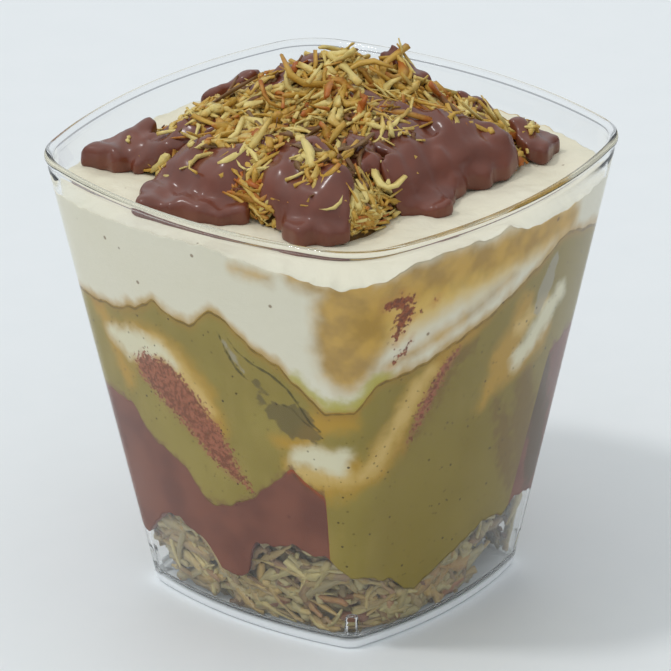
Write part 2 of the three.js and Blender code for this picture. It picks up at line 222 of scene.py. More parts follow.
room = bpy.data.worlds.new("room")
room.use_nodes = True
scene.world = room
tree = room.node_tree
tree.nodes.clear()
direction = add(tree, "ShaderNodeTexCoord").outputs["Generated"]
height = add(tree, "ShaderNodeSeparateXYZ", Vector=direction).outputs["Z"]
room_light = mixed(tree, step_between(tree, height, WALLS_UP_TO, CEILING_FROM), screen_colour(150, 155, 160),
                   screen_colour(226, 231, 234))
to_right = add(tree, "ShaderNodeVectorMath", {"operation": "DOT_PRODUCT"}, i0=direction,
               i1=tuple(level_right)).outputs["Value"]
dimmed = calculated(tree, "MULTIPLY", step_between(tree, to_right, 0.0, 0.9), LESS_AT_RIGHT)
room_light = mixed(tree, dimmed, room_light, screen_colour(120, 122, 124))
background = add(tree, "ShaderNodeBackground", Color=room_light, Strength=ROOM_STRENGTH)
add(tree, "ShaderNodeOutputWorld", Surface=background.outputs[0])
scene.view_settings.view_transform = "Standard"
print("lamp", round(math.degrees(math.asin(TO_LAMP.normalized().z))), "degrees high")

# %% [markdown]
# ## The cup's outline as a sum
# Each side of the cup is bowed and each corner is round, and both open out towards the rim. One
# function gives the distance from the axis to the outer face for any direction and height. Cup,
# creams and pastry all use it, so they fit each other without any trial.

# %% The outline
CUP_HEIGHT, WALL = 72.5, 1.0
HALF_WIDTH, BOW, CORNER = (23.0, 38.0), (68.0, 85.0), (3.0, 11.5)  # at the foot and at the rim
FRONT_CORNER = math.radians(-45)


def at_height(pair, z):
    return pair[0] + (pair[1] - pair[0]) * z / CUP_HEIGHT


def outline(theta, z):
    half, bow, corner = (at_height(pair, z) for pair in (HALF_WIDTH, BOW, CORNER))
    folded = np.abs((theta + np.pi / 4) % (np.pi / 2) - np.pi / 4)
    c, s = np.cos(folded), np.sin(folded)
    behind = bow - half
    on_side = np.sqrt(bow**2 - (behind * s) ** 2) - behind * c
    centre = (np.sqrt(2 * (bow - corner) ** 2 - behind**2) - behind) / 2
    along = centre * (c + s)
    on_corner = along + np.sqrt(np.maximum(corner**2 - 2 * centre**2 + along**2, 0))
    past = np.arctan2(on_side * s, on_side * c + behind) >= np.arctan2(centre, centre + behind)
    return np.where(past, on_corner, on_side)


# %% Places on the wall
# Features are placed as on a label laid round the cup: x runs along the wall from the front corner,
# in mm at its own height, and z is the height. At the rim x is called s.
TURN_STEPS, LINE_STEPS, SOFT_REACH = 2880, 1056, 4
WAVE_HEIGHT, RIPPLE_HEIGHT = 0.22, 0.14

turns = np.linspace(-np.pi, np.pi, TURN_STEPS + 1)
rim = outline(turns + FRONT_CORNER, CUP_HEIGHT) * np.exp(1j * turns)
rim_s = np.concatenate([[0], np.cumsum(np.abs(np.diff(rim)))])
HALF_RIM = rim_s[-1] / 2
rim_s -= HALF_RIM


def rim_place(theta):
    return np.interp((theta - FRONT_CORNER + np.pi) % (2 * np.pi) - np.pi, turns, rim_s)


def direction_of(s):
    return np.interp((s + HALF_RIM) % (2 * HALF_RIM) - HALF_RIM, rim_s, turns) + FRONT_CORNER


def narrowing(z):
    return at_height(HALF_WIDTH, z) / HALF_WIDTH[1]


def wall_line(points):
    """Height of a boundary at the wall for any rim place, from (x, z) points read off the wall."""
    points = sorted((x / narrowing(z), z) for x, z in points)
    s, z = np.array(points).T
    fine = np.linspace(-HALF_RIM, HALF_RIM, LINE_STEPS + 1)[:-1]
    heights = np.interp(fine, s, z, period=2 * HALF_RIM)
    waves = WAVE_HEIGHT * np.sin(fine * 1.31 + len(s)) * np.sin(fine * 0.37)
    heights += waves + RIPPLE_HEIGHT * np.sin(fine * 2.9 + 2 * np.sin(fine))
    soft = np.exp(-(np.arange(-SOFT_REACH, SOFT_REACH + 1) / 2.0) ** 2)
    joined = np.concatenate([heights[-SOFT_REACH:], heights, heights[:SOFT_REACH]])
    heights = np.convolve(joined, soft / soft.sum(), "valid")
    return lambda at: np.interp(at, fine, heights, period=2 * HALF_RIM)


print("once round the rim:", round(2 * HALF_RIM, 1), "mm")

# %% [markdown]
# ## Revolving and placing
# Everything round in the cup starts as a row of points that bmesh spins through a quarter turn. Three
# turned copies close the ring, which is much faster than one spin with hundreds of steps. Each point
# is then moved to where the outline says, which turns the rings from circles into bowed squares. The
# points at the axis, and those where the quarters meet, fall together and are merged.

# %% The revolving helper
CROWDING = 0.12  # how much closer the steps are at the corners


def coordinates(mesh):
    values = np.empty(len(mesh.vertices) * 3)
    mesh.vertices.foreach_get("co", values)
    return values.reshape(-1, 3)


def move_points(mesh, points_mm):
    mesh.vertices.foreach_set("co", (points_mm * MM).ravel())
    mesh.update()


def revolved(name, rows, steps, put):
    """Turns a point for each row round the axis, then put(theta, row values) gives its place in mm."""
    rows = np.array(rows, float)
    shape = bmesh.new()
    line = [shape.verts.new((1 + i, 0, 0)) for i in range(len(rows))]
    edges = [shape.edges.new(pair) for pair in zip(line, line[1:])]
    bmesh.ops.spin(shape, geom=line + edges, cent=(0, 0, 0), axis=(0, 0, 1), angle=math.pi / 2,
                   steps=steps // 4)
    quarter = shape.verts[:] + shape.edges[:] + shape.faces[:]
    for quarter_turns in (1, 2, 3):
        copied = bmesh.ops.duplicate(shape, geom=quarter)["geom"]
        copied_points = [part for part in copied if isinstance(part, bmesh.types.BMVert)]
        bmesh.ops.rotate(shape, verts=copied_points, cent=(0, 0, 0),
                         matrix=Matrix.Rotation(quarter_turns * math.pi / 2, 3, "Z"))
    mesh = bpy.data.meshes.new(name)
    shape.to_mesh(mesh)
    flat = coordinates(mesh)
    theta = np.arctan2(flat[:, 1], flat[:, 0])
    theta += CROWDING * np.sin(4 * theta)
    which = np.rint(np.hypot(flat[:, 0], flat[:, 1])).astype(int) - 1
    move_points(mesh, put(theta, rows[which].T))
    shape.clear()
    shape.from_mesh(mesh)
    bmesh.ops.remove_doubles(shape, verts=shape.verts, dist=1e-6)
    bmesh.ops.recalc_face_normals(shape, faces=shape.faces)
    shape.to_mesh(mesh)
    shape.free()
    return mesh


def ring_points(theta, radius, z):
    return np.stack([radius * np.cos(theta), radius * np.sin(theta), z + 0 * theta], 1)


def show(mesh, finish, nodes):
    """Puts a finished mesh in the scene in place of the solids that it stands for."""
    mesh.materials.append(finish)
    mesh.shade_smooth()
    piece = bpy.data.objects.new(mesh.name, mesh)
    scene.collection.objects.link(piece)
    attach(piece, "root")
    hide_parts(*nodes)
    print(mesh.name, len(mesh.polygons), "faces")


# %% [markdown]
# ## The clear cup
# The real cup is injection moulded in clear polystyrene, one millimetre thick, with a rolled rim, a
# foot ring and a short rib inside each bottom corner. The wall is a single closed skin, outside and
# inside, so that light bends in it as in the real wall. The rows below are (share of the way out,
# inset from the outer face, height). The camera sees glassy plastic, while the light that reaches the
# creams goes straight through it, so that they are lit evenly. The foot is painted white, a painted
# highlight for the bright light and reflection in the real foot ring.

# %% The clear cup
RIB_RADIUS, RIB_TOP = 0.9, 6.2
FLOOR_TOP, RECESS, RING_WIDTH = 1.8, 0.7, 2.0
BEAD_RADIUS, BEAD_INSET = 0.72, 0.55
FOOT_LIGHT_FROM, FOOT_LIGHT_FULL_AT, FOOT_LIGHT_SHARE = 2.4, 1.2, 0.9
CUP_STEPS = 320

cup_rows = [(0, 0, RECESS), (0.4, 0, RECESS), (0.8, 0, RECESS), (1, RING_WIDTH + 0.6, RECESS)]
cup_rows += [(1, RING_WIDTH + 0.2, RECESS - 0.1), (1, RING_WIDTH, 0.15), (1, RING_WIDTH - 0.2, 0)]
cup_rows += [(1, 0.7, 0), (1, 0.35, 0.08), (1, 0.12, 0.3), (1, 0, 0.7)]  # the foot's round edge
cup_rows += [(1, 0, z) for z in np.linspace(2, CUP_HEIGHT - 2.2, 30)]
for turn in np.linspace(-0.4, 1.0, 12) * math.pi:  # the rolled rim, a bead on top of the wall
    inset = BEAD_INSET - BEAD_RADIUS * math.cos(turn)
    cup_rows.append((1, inset, CUP_HEIGHT - BEAD_RADIUS + BEAD_RADIUS * math.sin(turn)))
cup_rows += [(1, WALL, CUP_HEIGHT - 2.0)]
cup_rows += [(1, WALL, z) for z in np.linspace(CUP_HEIGHT - 4, 8, 24)]
cup_rows += [(1, WALL, z) for z in np.linspace(7, 2.6, 19)]
cup_rows += [(1, WALL + 0.1, 2.2), (1, WALL + 0.35, 1.92), (1, WALL + 0.8, FLOOR_TOP)]
cup_rows += [(0.8, 0, FLOOR_TOP), (0.4, 0, FLOOR_TOP), (0, 0, FLOOR_TOP)]


def cup_point(theta, row):
    share, inset, z = row
    outer = outline(theta, z)
    off_corner = (np.abs(theta % (np.pi / 2) - np.pi / 4)) * outer
    above = np.maximum(z - (RIB_TOP - RIB_RADIUS), 0)
    rib = np.sqrt(np.maximum(RIB_RADIUS**2 - off_corner**2 - above**2, 0))
    inside = (share == 1) & (inset >= WALL) & (inset < RING_WIDTH - 0.3) & (z > 1)
    return ring_points(theta, share * (outer - inset - np.where(inside, rib, 0)), z)


clear_plastic, tree = new_material("clear_plastic")
glassy = add(tree, "ShaderNodeBsdfPrincipled", Base_Color=(0.985, 0.99, 0.99, 1), Roughness=0.03, IOR=1.4,
             Transmission_Weight=1.0)
lets_light_in = add(tree, "ShaderNodeBsdfTransparent", Color=(0.95, 0.96, 0.96, 1))
paths = add(tree, "ShaderNodeLightPath").outputs
straight_through = calculated(tree, "MAXIMUM", paths["Is Shadow Ray"], paths["Is Diffuse Ray"])
both = add(tree, "ShaderNodeMixShader", i0=straight_through, i1=glassy.outputs[0],
           i2=lets_light_in.outputs[0])
# painted light: a white diffuse band low on the foot stands in for the highlight and reflection of the real
# foot ring
foot_painted_light = add(tree, "ShaderNodeBsdfDiffuse", Color=screen_colour(250, 252, 253))
where = add(tree, "ShaderNodeTexCoord").outputs["Object"]
level = add(tree, "ShaderNodeSeparateXYZ", Vector=where).outputs["Z"]
near_foot = step_between(tree, level, FOOT_LIGHT_FROM * MM, FOOT_LIGHT_FULL_AT * MM)
at_foot = calculated(tree, "MULTIPLY", near_foot, FOOT_LIGHT_SHARE)
whole = add(tree, "ShaderNodeMixShader", i0=at_foot, i1=both.outputs[0], i2=foot_painted_light.outputs[0])
add(tree, "ShaderNodeOutputMaterial", Surface=whole.outputs[0])

show(revolved("clear_cup", cup_rows, CUP_STEPS, cup_point), clear_plastic, ["cup"])

# %% [markdown]
# ## Where the layers meet
# The layers were spooned in, so their edges wander up and down the wall. Each edge is a short list of
# (x, z) points read along the wall, first the two sides that face the camera, then, with the same
# kind of waves, the two behind. Inside, out of sight, each boundary levels off to one height.

# %% Boundaries
BED_TOP = wall_line([
    (-61, 12), (-50, 13), (-40.5, 9), (-38.5, 12.5), (-35.5, 15.5), (-33, 15.6), (-31, 14.7), (-28, 13.7),
    (-26, 12.5), (-24.5, 10.8), (-23.5, 9), (-20.8, 8.5), (-17.8, 9.5), (-17.5, 14), (-16.5, 16.5),
    (-13.5, 16.2), (-11.5, 17), (-9.7, 17.6), (-7.7, 17), (-6, 16.3), (-3.9, 16.7), (-0.3, 13.1), (2.8, 12.9),
    (4, 11.5), (6.8, 11.3), (8.6, 8.7), (11.1, 7.6), (13.6, 8.9), (17.2, 10.6), (21.8, 12.4), (27, 14.4),
    (30.3, 14.2), (32.9, 13), (36.4, 15.1), (49, 12), (64, 15), (79, 11), (-79, 14),
])
CHOCOLATE_TOP = wall_line([
    (-61, 38), (-50, 34.5), (-45.5, 34), (-43, 34), (-41, 32), (-40, 30.5), (-37, 28.5), (-34, 27.5),
    (-30.5, 26), (-29, 24), (-26.5, 21.5), (-24.5, 20.5), (-21, 22), (-17.5, 24), (-15.5, 26), (-13.5, 28),
    (-11.5, 30.3), (-10, 31.8), (-9, 31), (-7, 29.5), (-5.3, 28.3), (-3.9, 27.3), (-3.0, 5), (31.9, 5),
    (42.2, 37), (43.5, 40), (52, 42), (70, 34), (87, 30), (-99, 36), (-79, 30),
])
PISTACHIO_TOP = wall_line([
    (-76, 53), (-62, 51), (-50, 51), (-45, 51.5), (-40, 53.5), (-36.5, 55.8), (-33, 54), (-29, 53.5),
    (-25, 57.5), (-22, 56.5), (-20, 54.5), (-17, 52.5), (-15, 51.5), (-12, 50), (-10, 48), (-8, 46.5),
    (-5, 43.5), (0, 44), (3, 48.5), (6, 49), (10, 49.5), (15, 51), (20, 52.5), (25, 54), (30, 56), (35, 58),
    (40, 60), (45, 62), (59, 58), (79, 52), (99, 57), (-115, 51), (-96, 56),
])
CREAM_EDGE = wall_line([
    (-110, 67.2), (-80, 67), (-55, 67), (-35.6, 68.2), (-26.4, 68.8), (-12, 67), (-2.7, 65.6), (3, 66.5),
    (6, 67.3), (10, 68.6), (20, 68.8), (25, 68.3), (29, 69.1), (34, 66.7), (45, 66.3), (80, 67.4), (110, 67),
])
CREAM_LEVEL, CREAM_SWELL, EDGE_ZONE = 67.4, 0.35, 0.14
BED_INSIDE, CHOCOLATE_INSIDE, PISTACHIO_INSIDE = 14, 30, 50


def pistachio_bottom(s):
    return np.maximum(CHOCOLATE_TOP(s), BED_TOP(s))


def levelled(at_wall, hidden):
    """A boundary that is at_wall by the wall and hidden in the middle."""
    return lambda theta, share: hidden + (at_wall(rim_place(theta)) - hidden) * share**3


def cream_top(theta, share):
    wave = CREAM_SWELL * np.sin(3 * theta + 1) * share**2
    ease = np.clip((share - (1 - EDGE_ZONE)) / EDGE_ZONE, 0, 1) ** 2
    return CREAM_LEVEL + wave + (CREAM_EDGE(rim_place(theta)) - CREAM_LEVEL - wave) * ease


bed_surface = levelled(BED_TOP, BED_INSIDE)
chocolate_surface = levelled(pistachio_bottom, CHOCOLATE_INSIDE)
pistachio_surface = levelled(PISTACHIO_TOP, PISTACHIO_INSIDE)
print("pistachio at the front corner from", PISTACHIO_TOP(0), "down to", pistachio_bottom(0))

# %% [markdown]
# ## Strokes on the wall
# Against the clear wall the creams smear into each other: pale streaks in the green, ochre where
# green and white have mixed, reddish grains of cocoa. These are films without thickness, so they
# are colour and not shape. Each smear is a brush stroke of (x, z, half width) points. For every
# point of the mesh the script works out how deep it lies inside the strokes, and stores that
# distance. The material turns it into a ragged edge. The sides behind get the same strokes mirrored.

# %% Strokes
PALE_IN_GREEN = [
    [(-47, 46, 1.2), (-42.5, 45.5, 2.8), (-38.5, 46, 2.4), (-35, 46.5, 1), (-32, 44.8, 0.4)],
    [(-9, 34, 1.1), (-6, 35, 2.2), (-3.5, 34.5, 2.3), (-1.5, 36, 1.2)],
    [(32.5, 42.5, 1.4), (37, 45.5, 2.3), (41, 48.5, 2.3), (45, 51, 1.6)],
]
STRAW_IN_GREEN = [
    [(-37, 47, 2.2), (-33, 45.6, 1.8), (-30, 43.3, 1.6), (-27.5, 41, 1.4), (-25, 38.5, 0.8)],
    [(1, 32, 0.9), (4, 35, 1.3), (7.5, 41, 1.4), (10, 45, 1.3), (12.8, 48.3, 1)],
    [(-9, 31.5, 1.2), (-2, 32, 2)], [(33, 49, 1.5), (40, 51, 1.5)],
]
OCHRE_IN_GREEN = [
    [(-50, 50, 1.4), (-47, 46, 2), (-45, 41, 1.8), (-43, 38, 1)],
    [(-46, 45.5, 3), (-38, 45.8, 5), (-31, 43.6, 4), (-27, 40, 3.4), (-24, 36.5, 2.2)],
    [(-9.5, 33, 1.8), (-5.5, 33, 4.2), (-1, 33, 3.2), (-4, 29, 1.9), (-8, 30.5, 0.8)],
    [(-12.5, 36.5, 0.8), (-8, 36.2, 1.8), (-6, 41, 1.6), (-2, 42, 2.2)],
    [(-2, 30.5, 2.4), (3, 33, 2.6), (6, 37, 2.4), (8, 41, 2.3), (10, 44.5, 2.2), (13, 48, 2),
     (16.5, 50.5, 1.5), (22, 52.5, 0.8)],
    [(24.5, 37.5, 0.6), (27, 41, 2.2), (29.5, 45, 3.2), (33, 48.5, 3), (34, 53, 2)],
    [(30, 42, 2.8), (36, 42.8, 2.2), (41, 45, 1.8)],
]
COCOA_IN_GREEN = [
    [(-38.3, 42.4, 2.6), (-34.5, 41.2, 3.6), (-30, 38, 3.2), (-26, 34.5, 2.8), (-23, 31, 2.2), (-20, 28, 0.8),
     (-15.5, 25, -0.4)],
    [(9, 36, -0.2), (11, 40, 0.5), (13.5, 44, 0.8), (16, 48, 0.6), (19, 50.5, 0)],
]
FILM_IN_GREEN = [
    [(28, 37, 0.6), (31, 31, 2.2), (32.5, 25, 2.6), (35, 19, 2)],
    [(36, 38.5, 2.4), (37, 30, 3.6), (38, 21, 3.6)],
    [(8, 35, 0.5), (11, 39.5, 1.3), (14, 44, 1.9), (18, 49, 1.9), (22, 50.5, 0.8)],
]
SHADE_IN_GREEN = [
    [(-13, 41.8, 1.6), (-9.5, 40.7, 3), (-6.5, 38.8, 1.3)],
    [(-16.5, 46.5, 0.5), (-15, 45, 0.6)], [(-15.6, 43.6, 0.6), (-15.3, 43.2, 0.6)],
]
# painted reflection: pale grey where the cream stands back from the wall in air pockets, for the light that
# the air film mirrors
AIR_POCKET_SHEEN_IN_GREEN = [
    [(38, 50.5, 1.2), (40, 54, 2), (42, 58, 1.2)],
    [(-22.4, 52.5, 0.1), (-20.5, 49.8, 0.5), (-18.5, 47.8, 0.2)],
]
SEAMS_IN_GREEN = [
    [(-23.5, 54, 0.1), (-22, 51, 0.18), (-20, 48, 0.2), (-18, 46.5, 0.1)],
    [(-22.3, 54, 0.05), (-20, 51.3, 0.14), (-17, 49.5, 0.18), (-14, 48.5, 0.18), (-11, 46.5, 0.16),
     (-9, 44, 0.16), (-7, 41, 0.18), (-5.3, 39.8, 0.1)],
    [(-12, 43.4, 0.05), (-10, 43, 0.1), (-8, 41, 0.12), (-6, 39.8, 0.05)],
]
OCHRE_IN_CREAM = [
    [(-1.5, 52.5, 4.6), (-0.8, 58, 5.8), (-0.5, 62, 6)],
    [(0, 64.6, 2), (5, 64.2, 3), (10, 65, 3.4), (15, 65.4, 3.2), (20, 65.4, 3), (25, 65, 3), (32, 65, 3),
     (40, 64.8, 2.8), (46, 64.5, 2)],
    [(-20, 66.3, 0.7), (-14.5, 65.7, 0.6)], [(-10.5, 66.8, 1), (-5.5, 65.5, 1.2)],
    [(4, 51, 0.4), (12, 53.2, 0.6), (20, 55.6, 0.6), (30, 59.4, 0.6)],
]
WASH_IN_CREAM = [
    [(3, 59, 4), (12, 61.5, 3.8), (20, 62.3, 3.2), (28, 63.5, 3), (36, 64, 2.8), (45, 65, 2.4)],
]
COCOA_IN_CREAM = [
    [(4.8, 62, 0.6), (7, 62.4, 1.2), (8.6, 62, 0.8)], [(8, 60, 1.3), (6.8, 57.5, 0.8), (5.8, 55, -0.1)],
    [(9, 59, -0.2), (14, 61, -0.1)], [(5, 50.5, -0.2), (9, 54.5, -0.1)],
]
LIME_IN_CREAM = [
    [(-10, 48.8, 0.6), (-7, 46.4, 1), (-4, 44.6, 1.1), (0, 45, 1.3), (3, 48.6, 1.2), (5, 50.2, 0.6)],
]
GREEN_IN_CHOCOLATE = [
    [(-9, 31, 0.1), (-4.5, 27.5, 0.3)], [(42, 38, 2.6), (42, 28, 3.2), (42, 18, 3)],
]
FAR_OUTSIDE = -9.0


def depth_inside(x, z, strokes):
    """How deep points of the wall lie inside the strokes, in mm. It is below zero outside them."""
    best = np.full(len(x), FAR_OUTSIDE)
    for stroke in strokes:
        for (x0, z0, w0), (x1, z1, w1) in zip(stroke, stroke[1:]):
            dx, dz = x1 - x0, z1 - z0
            way = np.clip(((x - x0) * dx + (z - z0) * dz) / (dx * dx + dz * dz), 0, 1)
            away = np.hypot(x - x0 - way * dx, z - z0 - way * dz)
            best = np.maximum(best, w0 + (w1 - w0) * way - away)
    return best


def store(mesh, name, values):
    mesh.attributes.new(name, "FLOAT", "POINT").data.foreach_set("value", np.asarray(values, np.float32))


def brush(mesh, **strokes):
    """Stores each set of strokes on the points of a mesh that touch the wall."""
    x, y, z = (coordinates(mesh) / MM).T
    theta, radius = np.arctan2(y, x), np.hypot(x, y)
    at_wall = radius > outline(theta, z) - WALL
    s = rim_place(theta)
    seen = np.where(np.abs(s) <= HALF_RIM / 2, s, np.sign(s) * HALF_RIM - s) * narrowing(z)
    for name, lines in strokes.items():
        store(mesh, name, np.where(at_wall, depth_inside(seen, z, lines), FAR_OUTSIDE))
    return s, z, at_wall


# %% [markdown]
# ## The creams
# Each cream is one closed body from its lower boundary to its upper one. Its outside reaches a fifth
# of a millimetre into the wall, because a film of air between the two would mirror light where the
# real cream wets the plastic. The rings are half a millimetre apart at the wall, where the edges show.

# %% Layers
INTO_WALL = 0.2
INNER_RINGS = [0, 0.4, 0.72, 0.88, 0.95, 0.98]


def layer(name, low, high, rows, steps, top_rings=tuple(reversed(INNER_RINGS))):
    profile = [(share, 0) for share in INNER_RINGS]
    profile += [(1, level) for level in np.linspace(0, 1, rows)]
    profile += [(share, 1) for share in top_rings]

    def put(theta, row):
        share, level = row
        bottom, top = low(theta, share), high(theta, share)
        z = bottom + (top - bottom) * level
        return ring_points(theta, share * (outline(theta, z) - WALL + INTO_WALL), z)

    return revolved(name, profile, steps, put)


# %% Chocolate cream
chocolate_cream, tree = new_material("chocolate_cream")
base = two_toned(tree, 9, 3.0, 0.35, 0.65, (134, 84, 68), (116, 72, 60))
base = stained_in_turn(
    tree, base,
    ("green", (88, 70, 42), 1.2, 5, 2.2, 0.85),
    ("edge", (176, 84, 44), 0.6, 1.5, 2.0, 0.7),
)
base = specked(tree, base, screen_colour(88, 50, 40), 1.6, 0.2, 0.5, 0.5)
surface(tree, base, 0.45, mirror=0.0)

REDDISH_FROM, REDDISH_TO, REDDISH_DEPTH = -14, -4, 0.5  # the stretch of the upper edge that is reddish

mesh = layer("chocolate_cream_layer", bed_surface, chocolate_surface, 56, 520)
s, z, at_wall = brush(mesh, green=GREEN_IN_CHOCOLATE)
reddish = at_wall & (s > REDDISH_FROM) & (s < REDDISH_TO)
store(mesh, "edge", np.where(reddish, REDDISH_DEPTH - (CHOCOLATE_TOP(s) - z), FAR_OUTSIDE))
show(mesh, chocolate_cream, ["chocolate_cream"])

# %% Pistachio cream
pistachio_cream, tree = new_material("pistachio_cream")
base = two_toned(tree, 12, 3.0, 0.3, 0.7, (160, 142, 72), (148, 130, 62))
streaks = step_between(tree, grain(tree, 3, 4.0, (1, 1, 3)), 0.45, 0.75)
base = mixed(tree, calculated(tree, "MULTIPLY", streaks, 0.3), base, screen_colour(172, 148, 80))
base = stained_in_turn(tree, base, ("film", (120, 82, 58), 1.6, 7, 1.5, 0.8))
# painted shade: the pistachio on the sides turned to the right, away from the lamp, is mixed towards a darker
# green
right_side_shade = calculated(tree, "MULTIPLY", reading(tree, "right_side_shade"), 0.55)
base = mixed(tree, right_side_shade, base, screen_colour(132, 112, 46))
base = stained_in_turn(
    tree, base,
    ("ochre", (190, 148, 58), 1.8, 4, 3.0, 0.92),
    ("straw", (218, 186, 116), 1.5, 3, 3.0, 0.85),
    ("pale", (228, 220, 188), 1.4, 3.4, 3.0, 0.95),
    ("cocoa", (172, 112, 84), 0.9, 2.5, 2.0, 0.6),
)
cocoa = two_toned(tree, 0.7, 2.0, 0.4, 0.6, (166, 98, 74), (126, 72, 52))
base = stained(tree, base, "cocoa", cocoa, 0.35, 6.0, 0.55, 0.9)
base = stained_in_turn(
    tree, base,
    ("smear", (124, 84, 62), 1.0, 4.5, 1.3, 0.8),
    ("shade", (106, 92, 60), 0.4, 3.0, 1.2, 0.75),
    # painted reflection of the air pockets
    ("air", (168, 160, 142), 0.3, 1.5, 1.6, 0.7),
    ("seam", (70, 62, 34), 0.16, 0.5, 1.5, 0.85),
    ("rim", (170, 130, 56), 1.3, 2.5, 3.0, 0.75),
    ("outline", (112, 88, 36), 0.14, 0.7, 2.0, 0.8),
)
base = specked(tree, base, screen_colour(64, 46, 30), 1.4, 0.17, 0.5)
base = specked(tree, base, screen_colour(96, 76, 36), 0.9, 0.25, 0.5, 0.5)
surface(tree, base, 0.42, mirror=0.0)

RIGHT_SHADE_REACH = 8  # mm of rim over which the painted shade on the right side comes in
RIM_DEPTH, SMEAR_HEIGHT = 1.0, 0.4
OUTLINE_DEPTH, OUTLINE_HALF = 0.35, 0.15

mesh = layer("pistachio_cream_layer", chocolate_surface, pistachio_surface, 96, 640)
s, z, at_wall = brush(mesh, ochre=OCHRE_IN_GREEN, pale=PALE_IN_GREEN, cocoa=COCOA_IN_GREEN,
                      film=FILM_IN_GREEN, shade=SHADE_IN_GREEN, seam=SEAMS_IN_GREEN, straw=STRAW_IN_GREEN,
                      air=AIR_POCKET_SHEEN_IN_GREEN)
store(mesh, "right_side_shade", np.clip((HALF_RIM / 2 - np.abs(s - HALF_RIM / 2)) / RIGHT_SHADE_REACH, 0, 1))
below = PISTACHIO_TOP(s) - z
store(mesh, "rim", np.where(at_wall, RIM_DEPTH - below, FAR_OUTSIDE))
over_chocolate = np.where(CHOCOLATE_TOP(s) > BED_TOP(s), z - CHOCOLATE_TOP(s), -FAR_OUTSIDE)
store(mesh, "smear", np.where(at_wall, SMEAR_HEIGHT - over_chocolate, FAR_OUTSIDE))
store(mesh, "outline", np.where(at_wall, OUTLINE_HALF - np.abs(below - OUTLINE_DEPTH), FAR_OUTSIDE))
show(mesh, pistachio_cream, ["pistachio_cream"])

# %% White cream
white_cream, tree = new_material("white_cream")
base = mixed(tree, grain(tree, 9, 3.0), screen_colour(236, 229, 208), screen_colour(230, 222, 196))
base = stained_in_turn(
    tree, base,
    ("wash", (226, 186, 88), 3.0, 3, 4.0, 0.95),
    ("rim", (194, 154, 76), 1.1, 2.5, 3.0, 0.85),
)
ochre = two_toned(tree, 5, 3.0, 0.35, 0.65, (206, 160, 66), (174, 134, 54))
base = stained(tree, base, "ochre", ochre, 2.0, 3, 3.5, 0.92)
base = stained_in_turn(
    tree, base,
    ("lime", (184, 172, 62), 1.2, 4, 2.5, 0.8),
    ("cocoa", (196, 130, 66), 1.6, 4, 2.0, 0.7),
)
cocoa = two_toned(tree, 0.7, 2.0, 0.4, 0.6, (150, 72, 38), (108, 46, 30))
base = stained(tree, base, "cocoa", cocoa, 0.35, 5.5, 0.9, 0.92)
base = specked(tree, base, screen_colour(120, 86, 44), 3.2, 0.12, 0.3, 0.7)
surface(tree, base, 0.42, grain(tree, 1.2, 4.0), 0.12, mirror=0.1)

TOP_RINGS = tuple(np.concatenate([[0.995, 0.985, 0.97], np.linspace(0.95, 0, 60)]))
TOP_DIPS = [(0.55, 140), (0.2, 420)]  # depth in mm, and how many to a metre
UPPER_SIDE_FROM = 60  # what is higher than this, and not at the wall, is the upper side
OCHRE_EDGE = 0.9

mesh = layer("white_cream_layer", pistachio_surface, cream_top, 44, 560, TOP_RINGS)
s, z, at_wall = brush(mesh, ochre=OCHRE_IN_CREAM, wash=WASH_IN_CREAM, cocoa=COCOA_IN_CREAM,
                      lime=LIME_IN_CREAM)
store(mesh, "rim", np.where(at_wall, OCHRE_EDGE - (z - PISTACHIO_TOP(s)), FAR_OUTSIDE))
points = coordinates(mesh)
on_top = ~at_wall & (points[:, 2] > UPPER_SIDE_FROM * MM)
for i in np.nonzero(on_top)[0]:
    points[i, 2] += sum(depth * MM * noise.noise(Vector(points[i] * many)) for depth, many in TOP_DIPS)
move_points(mesh, points / MM)
show(mesh, white_cream, ["white_cream"])

# %% [markdown]
# ## Shreds of pastry
# Shredded pastry is a tangle of thin baked strands. One straight strand is made by extruding a
# five-sided circle along its length. Every shred of a heap is a bent copy: the points of the strand
# are laid along a curve with four handles. All shreds of a heap are joined in one mesh, because
# hundreds of separate objects would be slow to work with.

# %% One strand, and many bent copies
STRAND_SIDES, STRAND_STEPS = 5, 5
THINNER_AT_ENDS = 0.3
STEP_THICKNESS, POINT_THICKNESS = (0.5, 1.45), (0.75, 1.25)  # drawn for each step and for each point


def straight_strand():
    """A strand of length 1 along Z and radius 1. Gives its points and its faces."""
    shape = bmesh.new()
    bmesh.ops.create_circle(shape, cap_ends=True, segments=STRAND_SIDES, radius=1)
    end = shape.faces[:]
    for _ in range(STRAND_STEPS):
        grown = bmesh.ops.extrude_face_region(shape, geom=end, use_keep_orig=len(shape.faces) == 1)
        moved = [part for part in grown["geom"] if isinstance(part, bmesh.types.BMVert)]
        end = [part for part in grown["geom"] if isinstance(part, bmesh.types.BMFace)]
        bmesh.ops.translate(shape, verts=moved, vec=(0, 0, 1 / STRAND_STEPS))
    bmesh.ops.recalc_face_normals(shape, faces=shape.faces)
    shape.verts.index_update()
    points = np.array([v.co for v in shape.verts])
    faces = [[v.index for v in f.verts] for f in shape.faces]
    shape.free()
    return points, faces


strand_points, strand_faces = straight_strand()
print("one strand:", len(strand_points), "points,", len(strand_faces), "faces")


